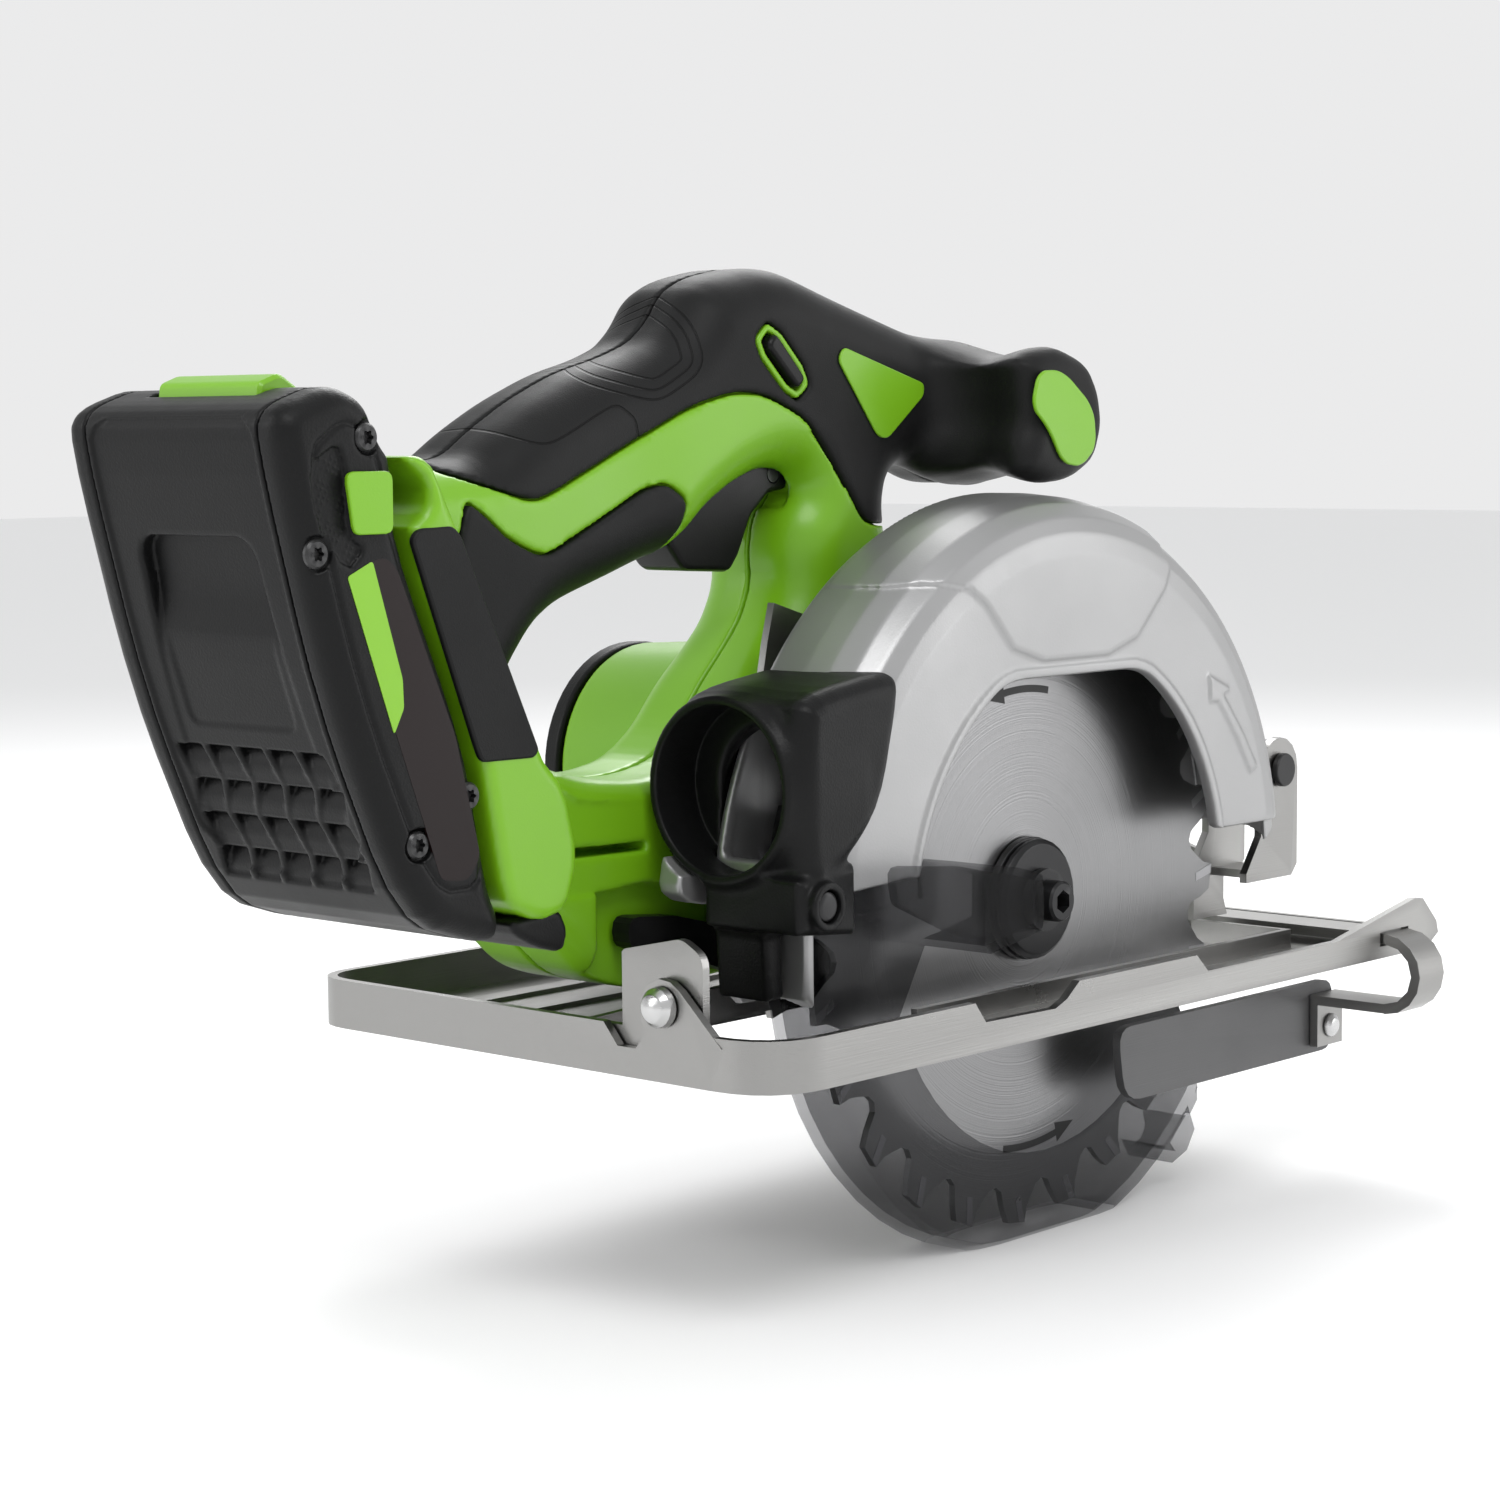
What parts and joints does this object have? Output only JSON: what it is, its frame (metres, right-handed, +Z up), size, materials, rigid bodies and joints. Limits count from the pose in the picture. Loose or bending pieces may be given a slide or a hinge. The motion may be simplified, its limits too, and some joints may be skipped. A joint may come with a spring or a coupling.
{
  "type": "circular saw",
  "caption": "Cordless circular saw with a guarded side blade, green and black pistol-grip body, cross front handle, slide-on battery, tilting base plate and a rip fence.",
  "frame": {"origin": "on the sole of the base plate (the face that rests on the work), under the arbor along the cut and at mid-width of the plate", "axes": "+X is the cutting direction, +Y is the motor side, +Z is up from the work; the blade is on the -Y side and reaches below the sole"},
  "size_m": [0.3681, 0.1617, 0.2439],
  "materials": {
    "pressed_steel": "zinc plated, satin",
    "cast_alloy": "die cast, fine blasted",
    "machined_steel": "ground",
    "blade_steel": "satin ground",
    "black_oxide": "black oxide",
    "green_shell": "fine texture",
    "soft_grip": "matt soft overmould",
    "dark_plastic": "fine texture",
    "black_plastic": "satin",
    "smoky_guard": "smoky clear, gloss",
    "windings": "varnished copper and laminations",
    "circuit_board": "solder mask",
    "cell_wrap": "shrink wrap"
  },
  "bodies": {
    "base": {"base_plate": "pressed_steel", "bevel_rivet": "pressed_steel"},
    "bevel_frame": {"rear_bevel_bracket": "pressed_steel", "front_bevel_bracket": "pressed_steel", "depth_pivot_pin": "black_oxide"},
    "saw_body": {"upper_guard": "cast_alloy", "outer_spindle_bearing": "machined_steel", "gear_case": "cast_alloy", "idler_axle": "machined_steel", "inner_spindle_bearing": "machined_steel", "gear_side_motor_bearing": "machined_steel", "dust_port": "dark_plastic", "dust_port_screw": "black_oxide", "depth_clamp_bolt": "machined_steel", "stator": "windings", "end_motor_bearing": "machined_steel", "housing_right": "green_shell", "housing_left": "green_shell", "grip_right": "soft_grip", "grip_left": "soft_grip", "lower_grip_right": "soft_grip", "lower_grip_left": "soft_grip", "triangle_inlay": "green_shell", "front_handle_inlay": "green_shell", "motor_end_cap": "dark_plastic", "trigger_pin": "machined_steel", "switch_module": "black_plastic", "control_board": "circuit_board", "guard_spring": "machined_steel"},
    "blade_set": {"spindle": "machined_steel", "output_gear": "machined_steel", "saw_blade": "blade_steel", "inner_flange": "black_oxide", "outer_flange": "black_oxide", "blade_bolt": "black_oxide"},
    "idler": {"idler_gear": "machined_steel"},
    "rotor_set": {"rotor": "machined_steel", "motor_shaft": "machined_steel", "cooling_fan": "black_plastic"},
    "lower_guard": {"lower_guard": "smoky_guard"},
    "trigger": {"trigger": "black_plastic"},
    "lock_off": {"lock_off_button": "black_plastic"},
    "spindle_lock": {"spindle_lock_button": "black_plastic"},
    "battery": {"battery_shell": "dark_plastic", "battery_side_right": "dark_plastic", "battery_side_left": "dark_plastic", "cell_pack": "cell_wrap", "battery_screw_1": "black_oxide", "battery_screw_2": "black_oxide", "battery_screw_3": "black_oxide", "battery_screw_4": "black_oxide"},
    "latch": {"battery_latch": "green_shell"},
    "usb_flap": {"usb_cover": "green_shell"},
    "depth_lever": {"depth_lever": "soft_grip"},
    "bevel_knob": {"bevel_knob": "soft_grip"},
    "fence": {"fence_bar": "pressed_steel", "fence_plate": "dark_plastic", "fence_rivet": "pressed_steel"},
    "fence_screw": {"fence_screw": "soft_grip"}
  },
  "joints": [
    {"name": "bevel_tilt", "type": "hinge", "parent": "base", "child": "bevel_frame", "pos_m": [-0.132, -0.043, 0.0169], "axis": [1, 0, 0], "range_deg": [0, 45]},
    {"name": "depth_tilt", "type": "hinge", "parent": "bevel_frame", "child": "saw_body", "pos_m": [0.108, -0.0338, 0.049], "axis": [0, 1, 0], "range_deg": [0, 24]},
    {"name": "blade_spin", "type": "hinge", "parent": "saw_body", "child": "blade_set", "pos_m": [0, -0.0378, 0.0255], "axis": [0, -1, 0], "continuous": true},
    {"name": "idler_spin", "type": "hinge", "parent": "saw_body", "child": "idler", "pos_m": [-0.0226, -0.0138, 0.0433], "axis": [0, -1, 0], "continuous": true},
    {"name": "rotor_spin", "type": "hinge", "parent": "saw_body", "child": "rotor_set", "pos_m": [-0.033, 0.0262, 0.0565], "axis": [0, -1, 0], "continuous": true},
    {"name": "lower_guard_swing", "type": "hinge", "parent": "saw_body", "child": "lower_guard", "pos_m": [0, -0.0298, 0.0255], "axis": [0, 1, 0], "range_deg": [0, 100], "stiffness_Nm_per_rad": 0.05, "springref_deg": -137.51, "deforming": ["guard_spring"]},
    {"name": "trigger_pull", "type": "hinge", "parent": "saw_body", "child": "trigger", "pos_m": [-0.05, 0.0072, 0.1315], "axis": [0, 1, 0], "range_deg": [0, 9], "stiffness_Nm_per_rad": 0.6, "springref_deg": -8.59},
    {"name": "lock_off_press", "type": "slide", "parent": "saw_body", "child": "lock_off", "axis": [0, 1, 0], "range_m": [0, 0.002], "stiffness_N_per_m": 300, "springref_m": -0.002},
    {"name": "spindle_lock_press", "type": "slide", "parent": "saw_body", "child": "spindle_lock", "axis": [-1, 0, 0], "range_m": [0, 0.0022], "stiffness_N_per_m": 400, "springref_m": -0.002},
    {"name": "battery_slide", "type": "slide", "parent": "saw_body", "child": "battery", "axis": [-0.3987, 0, 0.9171], "range_m": [0, 0.09]},
    {"name": "latch_press", "type": "slide", "parent": "battery", "child": "latch", "axis": [0, 0, -1], "range_m": [0, 0.0015], "stiffness_N_per_m": 600, "springref_m": -0.002},
    {"name": "usb_flap_open", "type": "hinge", "parent": "battery", "child": "usb_flap", "pos_m": [-0.206, -0.0297, 0.1219], "axis": [1, 0, 0], "range_deg": [0, 90]},
    {"name": "depth_lever_turn", "type": "hinge", "parent": "saw_body", "child": "depth_lever", "pos_m": [-0.0607, -0.0108, 0.0155], "axis": [0, 1, 0], "range_deg": [-15, 0]},
    {"name": "bevel_knob_turn", "type": "hinge", "parent": "bevel_frame", "child": "bevel_knob", "pos_m": [0.105, 0.0019, 0.0208], "axis": [1, 0, 0], "range_deg": [-360, 0]},
    {"name": "fence_slide", "type": "slide", "parent": "base", "child": "fence", "axis": [0, -1, 0], "range_m": [0, 0.03]},
    {"name": "fence_screw_turn", "type": "hinge", "parent": "base", "child": "fence_screw", "pos_m": [0.116, 0.0272, 0.0175], "axis": [0, 0, 1], "range_deg": [-360, 0]}
  ],
  "couplings": [
    {"joint": "idler_spin", "follows": "blade_spin", "ratio": -1.3438},
    {"joint": "rotor_spin", "follows": "blade_spin", "ratio": 3.5833}
  ]
}
